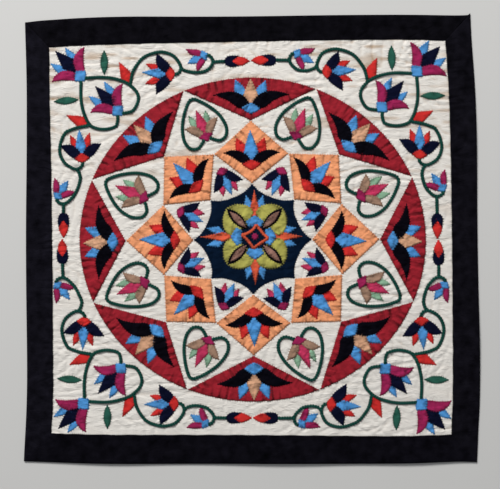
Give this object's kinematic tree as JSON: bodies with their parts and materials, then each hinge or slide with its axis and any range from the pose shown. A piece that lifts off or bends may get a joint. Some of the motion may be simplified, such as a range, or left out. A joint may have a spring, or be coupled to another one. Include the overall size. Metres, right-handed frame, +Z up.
{
  "type": "applique cotton panel",
  "caption": "Square cotton applique panel, laid flat: a lotus and star medallion, vine sprays in the corners and a mitred black border.",
  "frame": {"origin": "middle of the bounding box, on the surface that the panel lies on", "axes": "+X to the right of the panel's face, +Y to its top, +Z up, out of the face"},
  "size_m": [0.9106, 0.8996, 0.0072],
  "materials": {
    "cream_ground": "undyed cotton canvas, lightly creased",
    "black_border": "plain black cotton, matt",
    "crimson_cotton": "crimson cotton, puckered by its hem stitches",
    "orange_cotton": "pale orange cotton, puckered by its hem stitches",
    "navy_cotton": "navy cotton, matt",
    "ring_flower": "black, blue and tan cotton petals",
    "quad_flower": "black, red and blue cotton petals",
    "inner_flower": "navy, magenta, blue and rose cotton petals",
    "heart_flower": "green cord, with sand, magenta, rose and mint cotton petals",
    "spray_flowers": "green cord, with magenta, blue, navy, red and green cotton petals",
    "rosette_petals": "vermilion, blue, olive, black and brown cotton petals"
  },
  "bodies": {
    "root": {"ground_panel": "cream_ground", "border_top": "black_border", "border_right": "black_border", "border_bottom": "black_border", "border_left": "black_border", "crimson_segment_1": "crimson_cotton", "crimson_segment_2": "crimson_cotton", "crimson_segment_3": "crimson_cotton", "crimson_segment_4": "crimson_cotton", "crimson_segment_5": "crimson_cotton", "crimson_segment_6": "crimson_cotton", "crimson_segment_7": "crimson_cotton", "crimson_segment_8": "crimson_cotton", "orange_quad_1": "orange_cotton", "orange_quad_2": "orange_cotton", "orange_quad_3": "orange_cotton", "orange_quad_4": "orange_cotton", "orange_quad_5": "orange_cotton", "orange_quad_6": "orange_cotton", "orange_quad_7": "orange_cotton", "orange_quad_8": "orange_cotton", "navy_star": "navy_cotton", "ring_lotus_1": "ring_flower", "ring_lotus_2": "ring_flower", "ring_lotus_3": "ring_flower", "ring_lotus_4": "ring_flower", "ring_lotus_5": "ring_flower", "ring_lotus_6": "ring_flower", "ring_lotus_7": "ring_flower", "ring_lotus_8": "ring_flower", "orange_lotus_1": "quad_flower", "orange_lotus_2": "quad_flower", "orange_lotus_3": "quad_flower", "orange_lotus_4": "quad_flower", "orange_lotus_5": "quad_flower", "orange_lotus_6": "quad_flower", "orange_lotus_7": "quad_flower", "orange_lotus_8": "quad_flower", "inner_lotus_1": "inner_flower", "inner_lotus_2": "inner_flower", "inner_lotus_3": "inner_flower", "inner_lotus_4": "inner_flower", "inner_lotus_5": "inner_flower", "inner_lotus_6": "inner_flower", "inner_lotus_7": "inner_flower", "inner_lotus_8": "inner_flower", "heart_vine_1": "heart_flower", "heart_vine_2": "heart_flower", "heart_vine_3": "heart_flower", "heart_vine_4": "heart_flower", "heart_vine_5": "heart_flower", "heart_vine_6": "heart_flower", "heart_vine_7": "heart_flower", "heart_vine_8": "heart_flower", "corner_spray_1": "spray_flowers", "corner_spray_2": "spray_flowers", "corner_spray_3": "spray_flowers", "corner_spray_4": "spray_flowers", "centre_rosette": "rosette_petals"}
  },
  "joints": []
}
